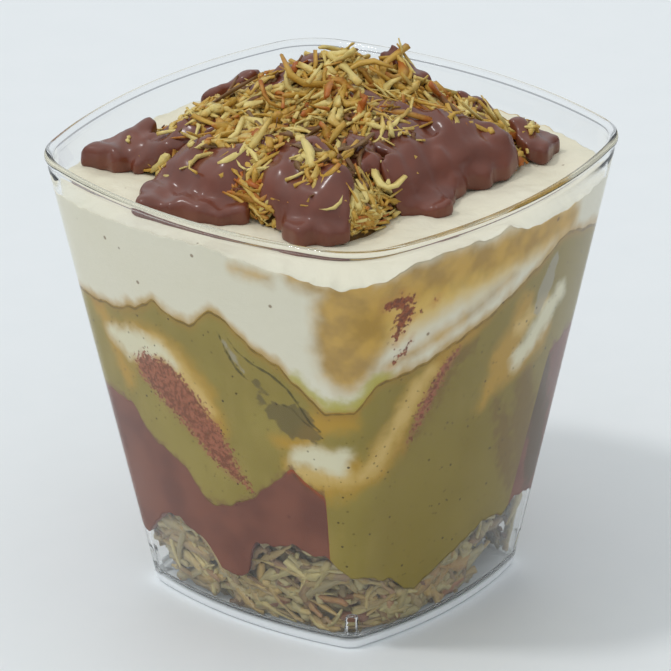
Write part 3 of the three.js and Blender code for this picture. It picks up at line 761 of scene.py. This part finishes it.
def bent_strands(handles, widths, thicknesses, facing):
    """Lays a strand along each curve: handles is (count, 4, 3), facing the way its flat side looks."""
    u, a, b = strand_points[:, 2], strand_points[:, 0], strand_points[:, 1]
    p0, p1, p2, p3 = (handles[:, i, None, :] for i in range(4))
    v = (1 - u)[None, :, None]
    u = u[None, :, None]
    middle = v**3 * p0 + 3 * v * v * u * p1 + 3 * v * u * u * p2 + u**3 * p3
    along = 3 * v * v * (p1 - p0) + 6 * v * u * (p2 - p1) + 3 * u * u * (p3 - p2)
    along /= np.linalg.norm(along, axis=2, keepdims=True) + 1e-9
    side = np.cross(along, facing[:, None, :])
    side /= np.linalg.norm(side, axis=2, keepdims=True) + 1e-9
    out = np.cross(side, along)
    taper = 1 - THINNER_AT_ENDS * np.abs(2 * u - 1) ** 5
    sideways = a[None, :, None] * widths[:, None, None] * side
    outwards = b[None, :, None] * thicknesses[:, None, None] * out
    ring = np.rint(strand_points[:, 2] * STRAND_STEPS).astype(int)
    lumpy = draw.uniform(*STEP_THICKNESS, (len(handles), STRAND_STEPS + 1))[:, ring, None]
    rough = draw.uniform(*POINT_THICKNESS, (len(handles), len(strand_points), 1))
    return middle + (sideways + outwards) * taper * lumpy * rough


def strand_mesh(name, shapes, core):
    """Joins bent strands and the core that they lie on into one mesh."""
    count, each = shapes.shape[:2]
    points = shapes.reshape(-1, 3)
    faces = [[v + i * each for v in face] for i in range(count) for face in strand_faces]
    faces += [[v + len(points) for v in face.vertices] for face in core.polygons]
    points = np.concatenate([points, coordinates(core) / MM])
    mesh = bpy.data.meshes.new(name)
    mesh.from_pydata((points * MM).tolist(), [], faces)
    return mesh


# %% The finish of baked pastry
# Four stored values steer it: tone runs from straw green to toasted brown, one mixes in a pale grey,
# wet is a coat of chocolate, and one paints shade, darker in the gaps between shreds and in the core.
pastry, tree = new_material("baked_pastry")
uneven = calculated(tree, "MULTIPLY_ADD", grain(tree, 1.6, 3.0), 0.5, -0.25)
tone = calculated(tree, "ADD", reading(tree, "tone"), uneven)
base = mixed(tree, step_between(tree, tone, 0.05, 0.45), screen_colour(228, 206, 130),
             screen_colour(202, 160, 70))
base = mixed(tree, step_between(tree, tone, 0.5, 0.95), base, screen_colour(178, 98, 38))
greyed = calculated(tree, "MULTIPLY", reading(tree, "greying"), 0.7)
base = mixed(tree, greyed, base, screen_colour(150, 138, 116))
# painted shade in the gaps between the shreds
base = mixed(tree, reading(tree, "painted_gap_shade"), base, screen_colour(72, 60, 34))
base = mixed(tree, reading(tree, "wet"), base, screen_colour(98, 52, 40))
surface(tree, base, 0.4, grain(tree, 0.5, 3.0), 0.12, mirror=0.3, Coat_Weight=0.12, Coat_Roughness=0.2)

# %% [markdown]
# ## The pastry bed
# At the bottom the shreds are pressed against the wall, with dark gaps between them. A lumpy core
# stands a little behind the wall, and the shreds lie in front of it, some against the wall and some
# deeper. A few pockets near the corners stay empty, so that light shows through them.

# %% The bed
draw = np.random.default_rng(7)
BED_SHREDS = 950
BED_LENGTHS, BED_WIDTHS, BED_THICKNESSES = (2.5, 10), (0.3, 0.85), (0.25, 0.5)
BED_DEPTHS, DEPTH_SHARES = [0.5, 0.8, 1.5, 2.3], [0.35, 0.25, 0.25, 0.15]  # behind the wall
POCKETS = [(-63, 5, 7, 5), (55, 7, 12, 7), (128, 6, 6, 4)]  # rim place, height, half sizes
BED_NARROWING = 0.66  # the cup's width at the bed, as a share of its width at the rim
CORE_BEHIND_WALL, CORE_LUMPS, CORE_BEHIND_POCKET = 2.2, 0.8, 12
CORE_OVER_FLOOR, CORE_UNDER_TOP = 0.1, 0.6


def in_pocket(s, z):
    return np.any([((s - a) / w) ** 2 + ((z - b) / h) ** 2 < 1 for a, b, w, h in POCKETS], axis=0)


def bed_put(theta, row):
    share, level = row
    s = rim_place(theta)
    lump = np.sin(s * 0.9) * np.sin(level * 9 + s * 0.35)
    at_pocket = np.max([np.exp(-(((s - a) / (w + 4)) ** 2)) for a, b, w, h in POCKETS], axis=0)
    top = bed_surface(theta, share) - CORE_UNDER_TOP
    z = FLOOR_TOP + CORE_OVER_FLOOR + (top - FLOOR_TOP - CORE_OVER_FLOOR) * level
    inner = outline(theta, z) - WALL - CORE_BEHIND_WALL + CORE_LUMPS * lump - CORE_BEHIND_POCKET * at_pocket
    return ring_points(theta, share * inner, z)


bed_profile = [(0, 0), (0.5, 0), (0.8, 0)] + [(1, level) for level in np.linspace(0, 1, 20)]
bed_profile += [(0.9, 1), (0.5, 1), (0, 1)]
bed_core = revolved("bed_core", bed_profile, 240, bed_put)

s0 = draw.uniform(-HALF_RIM, HALF_RIM, BED_SHREDS * 3)
z0 = FLOOR_TOP + 0.9 + draw.uniform(0, 1, len(s0)) * (BED_TOP(s0) - FLOOR_TOP - 1.2)
keep = ~in_pocket(s0, z0)
s0, z0 = s0[keep][:BED_SHREDS], z0[keep][:BED_SHREDS]
count = len(s0)
length = draw.uniform(*BED_LENGTHS, count)
slope = draw.normal(0, 0.75, count)
depth = draw.choice(BED_DEPTHS, count, p=DEPTH_SHARES)
bend = draw.normal(0, 0.22, (count, 4, 2)) * length[:, None, None]
ways = np.array([-0.5, -0.17, 0.17, 0.5])  # where a shred's four handles lie along it
hs = s0[:, None] + ways * (length * np.cos(slope))[:, None] / BED_NARROWING + bend[:, :, 0] * 0.6
hz = z0[:, None] + ways * (length * np.sin(slope))[:, None] + bend[:, :, 1] * 0.45
hz = np.clip(hz, FLOOR_TOP + 0.6, np.maximum(BED_TOP(hs) + 0.3, FLOOR_TOP + 1))
ht = direction_of(hs)
hr = outline(ht, hz) - WALL - depth[:, None] - draw.uniform(0, 0.8, (count, 4))
handles = np.stack([hr * np.cos(ht), hr * np.sin(ht), hz], 2)
facing = np.stack([np.cos(ht[:, 1]), np.sin(ht[:, 1]), np.full(count, 0.2)], 1)
wide, thick = draw.uniform(*BED_WIDTHS, count), draw.uniform(*BED_THICKNESSES, count)
shapes = bent_strands(handles, wide, thick, facing)

mesh = strand_mesh("pastry_bed_shreds", shapes, bed_core)
each, core_count = len(strand_points), len(bed_core.vertices)
tone = np.repeat(np.clip(draw.normal(0.3, 0.32, count), 0, 1), each)
# painted shade: shreds that lie deeper behind the wall are darkened, with some random variation, and the core
# a little
painted_gap_shade = np.repeat(np.where(depth > 1, 0.45, 0.0) + draw.uniform(0, 0.25, count), each)
greying = np.repeat(draw.uniform(0.45, 1, count), each)
wet = np.repeat(draw.uniform(0, 1, count) < 0.1, each)
store(mesh, "tone", np.concatenate([tone, np.full(core_count, 0.5)]))
store(mesh, "painted_gap_shade", np.concatenate([painted_gap_shade, np.full(core_count, 0.4)]))
store(mesh, "wet", np.concatenate([wet * 0.6, np.zeros(core_count)]))
store(mesh, "greying", np.concatenate([greying, np.ones(core_count)]))
show(mesh, pastry, ["pastry_bed"])

# %% [markdown]
# ## The heap on top
# The heap is a low plateau with one hill towards the back. The core follows nearly the same sums as
# the solid, a little lower, so that the shreds on it end about where the solid does, and it has a
# rough skin of small lumps. Shreds in all directions cover it, a few of them standing up. The heap
# has its own plan, turned so that x runs along it.

# %% The heap's form
HEAP_TURN = math.radians(40)
HEAP_EDGE = np.array([  # direction in degrees, distance from the middle
    (12, 33), (36, 29), (64, 27), (90, 25.5), (116, 26), (146, 29), (168, 34), (177, 31), (184, 27),
    (205, 27.5), (222, 26), (235, 22.5), (249, 24.5), (265, 27), (276, 27.5), (289, 23.5), (298, 21),
    (322, 19.8), (341, 22.3), (354, 27.5),
], float).T
PLATEAU_HEIGHT, PLATEAU_REACH = 8.4, 30
HILL_HEIGHT, HILL_X, HILL_Y, HILL_LENGTH, HILL_WIDTH = 4.6, 1, 11, 13, 11
HEAP_LUMPS = 0.7


def heap_edge(turn):
    return np.interp(np.degrees(turn), *HEAP_EDGE, period=360)


def heap_height(x, y):
    share = np.hypot(x, y) / heap_edge(np.arctan2(y, x))
    plateau = PLATEAU_HEIGHT * np.exp(-((np.abs(x) / PLATEAU_REACH) ** 3))
    hill = HILL_HEIGHT * np.exp(-(((x - HILL_X) / HILL_LENGTH) ** 2) - ((y - HILL_Y) / HILL_WIDTH) ** 2)
    lumps = HEAP_LUMPS * np.sin(x * 0.55 + 1) * np.sin(y * 0.5)
    return (plateau + hill + lumps) * np.sqrt(np.maximum(1 - share**4, 0))


def in_cup(x, y):
    """From the heap's plan to the cup's."""
    c, s = math.cos(HEAP_TURN), math.sin(HEAP_TURN)
    return x * c - y * s, x * s + y * c


def heap_top(x, y):
    px, py = in_cup(x, y)
    theta = np.arctan2(py, px)
    return cream_top(theta, np.hypot(px, py) / (outline(theta, CREAM_LEVEL) - WALL)) + heap_height(x, y)


def lifted(x, y, z):
    return np.stack([*in_cup(x, y), z], -1)


# %% Where the chocolate lies
# Each pool is (x, y, half length, half width, turn in degrees, thickness) in the heap's plan.
POOLS = {
    "chocolate_left_lobe": [(-32, 4.5, 5.6, 3.8, 10, 3.2), (-26.5, 1.5, 4.4, 3.2, 0, 2.2),
                            (-20.5, 1.5, 5, 3.6, 15, 2)],
    "chocolate_left_drip": [(-22.5, -12.5, 6.5, 7.8, -20, 2.8), (-16, -15.5, 6, 6, 30, 2.8)],
    "chocolate_front_drip": [(-6, -17, 5.5, 7, 0, 2.8), (-2.5, -23.5, 5.4, 6, 20, 3)],
    "chocolate_middle_sheet": [(4, -1, 5, 4.2, 0, 1.9), (12, -3.5, 6, 5, -20, 2),
                               (13.2, -12, 6.4, 5.6, 15, 2.2), (21, -3.5, 6.6, 4.8, 25, 3.2),
                               (7.5, -7.5, 2.4, 2, 0, 2.6), (17.5, -9.5, 2.6, 2, 40, 3),
                               (9.5, -16.5, 2.2, 2.4, 0, 2.4), (15.5, -16.5, 2.4, 2.2, 0, 2),
                               (25, -1, 2.6, 2.2, 0, 4)],
    "chocolate_front_pool": [(4.2, -14.5, 3.2, 4.6, 10, 2)],
    "chocolate_right_lobe": [(31, 6.5, 3.6, 4, 0, 2.8)],
    "chocolate_right_pool": [(22.5, 12, 3.8, 2.8, -20, 2.4)],
    "chocolate_top_lump": [(-2.2, 11.5, 2.8, 3, 0, 2.2)],
    "chocolate_back_pool": [(-8.5, 8.5, 4.2, 2.6, 10, 2)],
    "chocolate_back_lobe": [(-15.5, 17, 4.4, 2.8, 15, 2.6)],
    "chocolate_shard": [(11.5, 11.5, 4.4, 1.9, -35, 3.6), (10, 12.5, 1.2, 0.8, -35, 5)],
}


def pool_depth(x, y):
    """Thickness of chocolate over a point of the heap's plan, zero where there is none."""
    deepest = np.zeros(np.shape(x))
    for parts in POOLS.values():
        for x0, y0, half_length, half_width, turn, thickness in parts:
            c, s = math.cos(math.radians(turn)), math.sin(math.radians(turn))
            u = ((x - x0) * c + (y - y0) * s) / half_length
            v = ((y - y0) * c - (x - x0) * s) / half_width
            deepest = np.maximum(deepest, thickness * np.sqrt(np.maximum(1 - u * u - v * v, 0)))
    return deepest


# %% The heap's core
CORE_UNDER_SHREDS, CORE_ROUGHNESS, CORE_EDGE_DROP = 0.9, 0.55, 3.5
IN_CREAM = 0.6  # how deep the core reaches into the cream


def core_put(theta, row):
    share, level = row
    radius = share * heap_edge(theta)
    x, y = radius * np.cos(theta), radius * np.sin(theta)
    rough = CORE_ROUGHNESS * np.sin(2.1 * x + 3 * np.sin(1.3 * y)) * np.sin(1.9 * y + 2 * np.sin(1.7 * x))
    top = heap_top(x, y) - CORE_UNDER_SHREDS + rough * np.minimum(1, (1 - share) * 8)
    top -= CORE_EDGE_DROP * share**6
    under = CREAM_LEVEL - IN_CREAM
    return lifted(x, y, np.where(level > 0, np.maximum(top, under + 0.1), under))


core_profile = [(0, 0), (0.6, 0), (1, 0), (1, 1)] + [(share, 1) for share in np.linspace(0.985, 0, 46)]
heap_core = revolved("heap_core", core_profile, 200, core_put)
print("heap core", len(heap_core.polygons), "faces, top at", round(heap_core.vertices[0].co.z / MM, 1))

# %% The heap's shreds
# Some shreds are strewn over the whole heap, others lie in piles of (x, y, radius, height).
PILES = [
    (-14.8, 5, 6, 1.4), (-20, 3, 4, 0.8), (2, 9, 3.5, 3.2), (1.2, -2.8, 5, 1.2), (1.5, -19, 4, 1.6),
    (12, 7, 5, 1.2), (23, 9, 5, 1.2), (-9, -9, 4.5, 1.2), (30, 11, 4, 1.2), (-12.5, -19, 2.5, 1.2),
    (4, -25, 2.5, 1), (-4, 3, 5, 1.1), (-18, -7, 3.5, 0.8), (-3, -20, 3, 1), (6.5, -6.5, 3.5, 1),
    (-11, -12, 3, 0.8), (20, 4, 4, 1),
]
PILE_SPREAD, BOW_SHARE, KINK_SHARE, BUMP_SHARE = 0.55, 0.26, 0.15, 0.06
STANDING_LIFTS = [-0.5, 0.4, 1.4, 2.6]  # for the four handles of a shred that stands up
THIN_CHOCOLATE, OVER_POOL_CHANCE = 0.3, 0.05
SLIDE_FROM, SLIDE_OVER = 0.72, 0.28  # shreds slide down the slope in the outer part of the heap
DRIP_Y = -15

draw = np.random.default_rng(21)


def strewn(count, piled, outward, shortest, longest, standing_share):
    """Four handles for each shred, where it looks, and its place in the heap's plan. The smaller
    outward is, the more shreds lie near the heap's edge."""
    turn = draw.uniform(0, 2 * np.pi, count)
    out = draw.uniform(0, 1, count) ** outward * heap_edge(turn) * 0.98
    x0, y0 = out * np.cos(turn), out * np.sin(turn)
    pile = np.array(PILES)[draw.integers(0, len(PILES), count)].T
    in_pile = draw.uniform(0, 1, count) < piled
    x0 = np.where(in_pile, pile[0] + draw.normal(0, PILE_SPREAD, count) * pile[2], x0)
    y0 = np.where(in_pile, pile[1] + draw.normal(0, PILE_SPREAD, count) * pile[2], y0)
    heading, length = draw.uniform(0, 2 * np.pi, count), draw.uniform(shortest, longest, count)
    bow = draw.normal(0, BOW_SHARE, count) * length
    kink = draw.normal(0, KINK_SHARE, (count, 4)) * length[:, None]
    arch = np.array([-1, 1, 1, -1])
    c, s = np.cos(heading)[:, None], np.sin(heading)[:, None]
    hx = x0[:, None] + ways * length[:, None] * c - (bow[:, None] * arch + kink) * s
    hy = y0[:, None] + ways * length[:, None] * s + (bow[:, None] * arch + kink) * c
    pull = np.minimum(1, 0.985 * heap_edge(np.arctan2(hy, hx)) / (np.hypot(hx, hy) + 1e-6))
    hx, hy = hx * pull, hy * pull
    heaped = np.zeros((count, 4))
    for x, y, radius, tall in PILES:
        heaped = np.maximum(heaped, tall * np.exp(-((hx - x) ** 2 + (hy - y) ** 2) / radius**2))
    layer_up = draw.uniform(0, 1, count)[:, None]
    lift = layer_up * (1 + heaped) + draw.normal(0, BUMP_SHARE, (count, 4)) * length[:, None]
    standing = draw.uniform(0, 1, count) < standing_share
    lift += np.outer(standing, STANDING_LIFTS) * draw.uniform(0.5, 1, count)[:, None]
    covered = pool_depth(hx, hy)
    over_pool = in_pile | (draw.uniform(0, 1, count) < OVER_POOL_CHANCE)
    sunk = (covered > THIN_CHOCOLATE) & ~over_pool[:, None]
    lift = np.where(sunk, np.minimum(lift, covered * 0.25), lift + covered + 0.4)
    share = np.hypot(hx, hy) / heap_edge(np.arctan2(hy, hx))
    slid = np.clip((share - SLIDE_FROM) / SLIDE_OVER, 0, 1) * draw.uniform(0, 1, count)[:, None]
    slid *= heap_height(hx, hy)
    handles = lifted(hx, hy, heap_top(hx, hy) + np.maximum(lift - 0.4, -0.3) - slid)
    facing = np.stack([draw.normal(0, 0.7, count), draw.normal(0, 0.7, count), np.ones(count)], 1)
    return handles, facing, x0, y0


sizes = [  # how many, share in piles, outward, shortest, longest, share standing, thinnest, thickest
    (520, 0.55, 0.5, 6, 14, 0.07, 0.28, 0.62),
    (1250, 0.5, 0.36, 2.5, 6, 0.1, 0.26, 0.7),
    (1150, 0.35, 0.22, 0.9, 2.6, 0.0, 0.26, 0.6),
]
shapes, x0, y0 = [], [], []
for count, piled, outward, shortest, longest, standing_share, thinnest, thickest in sizes:
    handles, facing, x, y = strewn(count, piled, outward, shortest, longest, standing_share)
    wide = draw.uniform(thinnest, thickest, count)
    shapes.append(bent_strands(handles, wide, wide * draw.uniform(0.4, 0.9, count), facing))
    x0.append(x)
    y0.append(y)
shapes, x0, y0 = np.concatenate(shapes), np.concatenate(x0), np.concatenate(y0)

mesh = strand_mesh("pastry_heap_shreds", shapes, heap_core)
each, core_count = len(strand_points), len(heap_core.vertices)
way_along = np.tile(strand_points[:, 2], len(shapes))
patchy = 0.35 * np.sin(0.45 * x0 + 1) * np.sin(0.55 * y0)
toasted = np.repeat(np.clip(draw.normal(0.28, 0.25, len(shapes)) + patchy, 0, 1), each)
tone = np.clip(toasted + 0.25 * np.abs(2 * way_along - 1) ** 3, 0, 1)
coated = 0.5 * np.exp(-((x0 / 6) ** 2) - ((y0 - DRIP_Y) / 8) ** 2) + 0.06  # mostly by the front drip
wet = np.repeat(draw.uniform(0, 1, len(shapes)) < coated, each)
store(mesh, "tone", np.concatenate([tone, np.full(core_count, 0.55)]))
# painted shade: the core between the heap's shreds is darkened
store(mesh, "painted_gap_shade", np.concatenate([np.zeros(len(tone)), np.full(core_count, 0.85)]))
store(mesh, "wet", np.concatenate([wet * 0.85, np.full(core_count, 0.3)]))
store(mesh, "greying", np.zeros(len(mesh.vertices)))
show(mesh, pastry, ["pastry_topping"])

# %% [markdown]
# ## The chocolate
# Melted milk chocolate was spooned over the heap and set: smooth lobes two or three millimetres
# thick, with round edges. Each pool starts as a few flattened balls laid on the heap. A voxel remesh
# fuses them into one skin, and smoothing melts the joints, as the liquid would have done.

# %% The finish of milk chocolate
milk_chocolate, tree = new_material("milk_chocolate")
base = mixed(tree, grain(tree, 5, 3.0), screen_colour(128, 64, 42), screen_colour(86, 42, 28))
surface(tree, base, 0.45, grain(tree, 2.4, 2.0), 0.06, mirror=0.3, Coat_Weight=0.7, Coat_Roughness=0.2)

# %% The pools
CHOCOLATE_VOXEL = 0.38
MELT_SHARE, MELT_ROUNDS = 0.6, 9
BALL_DETAIL, OVER_HEAP, UNDERSIDE = 4, 0.3, 1.3


def poured(name, parts):
    shape = bmesh.new()
    for x0, y0, half_length, half_width, turn, thickness in parts:
        made = bmesh.ops.create_icosphere(shape, subdivisions=BALL_DETAIL, radius=1)
        balls = np.array([vert.co for vert in made["verts"]])
        angle = np.arctan2(balls[:, 1], balls[:, 0])
        ripple = 1 + 0.1 * np.sin(3 * angle + x0) + 0.08 * np.sin(5 * angle + y0)
        ripple += 0.07 * np.sin(9 * angle + x0)
        u, v = balls[:, 0] * ripple * half_length, balls[:, 1] * ripple * half_width
        c, s = math.cos(math.radians(turn)), math.sin(math.radians(turn))
        x, y = x0 + u * c - v * s, y0 + u * s + v * c
        swell = 0.4 * np.sin(1.1 * x + 1) * np.sin(y) + 0.3 * np.sin(0.45 * x - 0.6 * y)
        swell += 0.12 * np.sin(2.3 * x + 1.9 * y)
        flat_topped = np.sqrt(1 - (1 - np.maximum(balls[:, 2], 0)) ** 3)
        rise = np.where(balls[:, 2] > 0, flat_topped * (thickness + swell), balls[:, 2] * UNDERSIDE)
        for vert, place in zip(made["verts"], lifted(x, y, heap_top(x, y) + rise + OVER_HEAP)):
            vert.co = place * MM
    mesh = bpy.data.meshes.new(name)
    shape.to_mesh(mesh)
    shape.free()
    rough = bpy.data.objects.new(name + "_rough", mesh)
    scene.collection.objects.link(rough)
    fused = rough.modifiers.new("fused", "REMESH")
    fused.mode, fused.voxel_size = "VOXEL", CHOCOLATE_VOXEL * MM
    melted = rough.modifiers.new("melted", "SMOOTH")
    melted.factor, melted.iterations = MELT_SHARE, MELT_ROUNDS
    done = bpy.data.meshes.new_from_object(rough.evaluated_get(bpy.context.evaluated_depsgraph_get()))
    bpy.data.objects.remove(rough)
    done.name = name
    return done


for node, parts in POOLS.items():
    show(poured(node + "_poured", parts), milk_chocolate, [node])
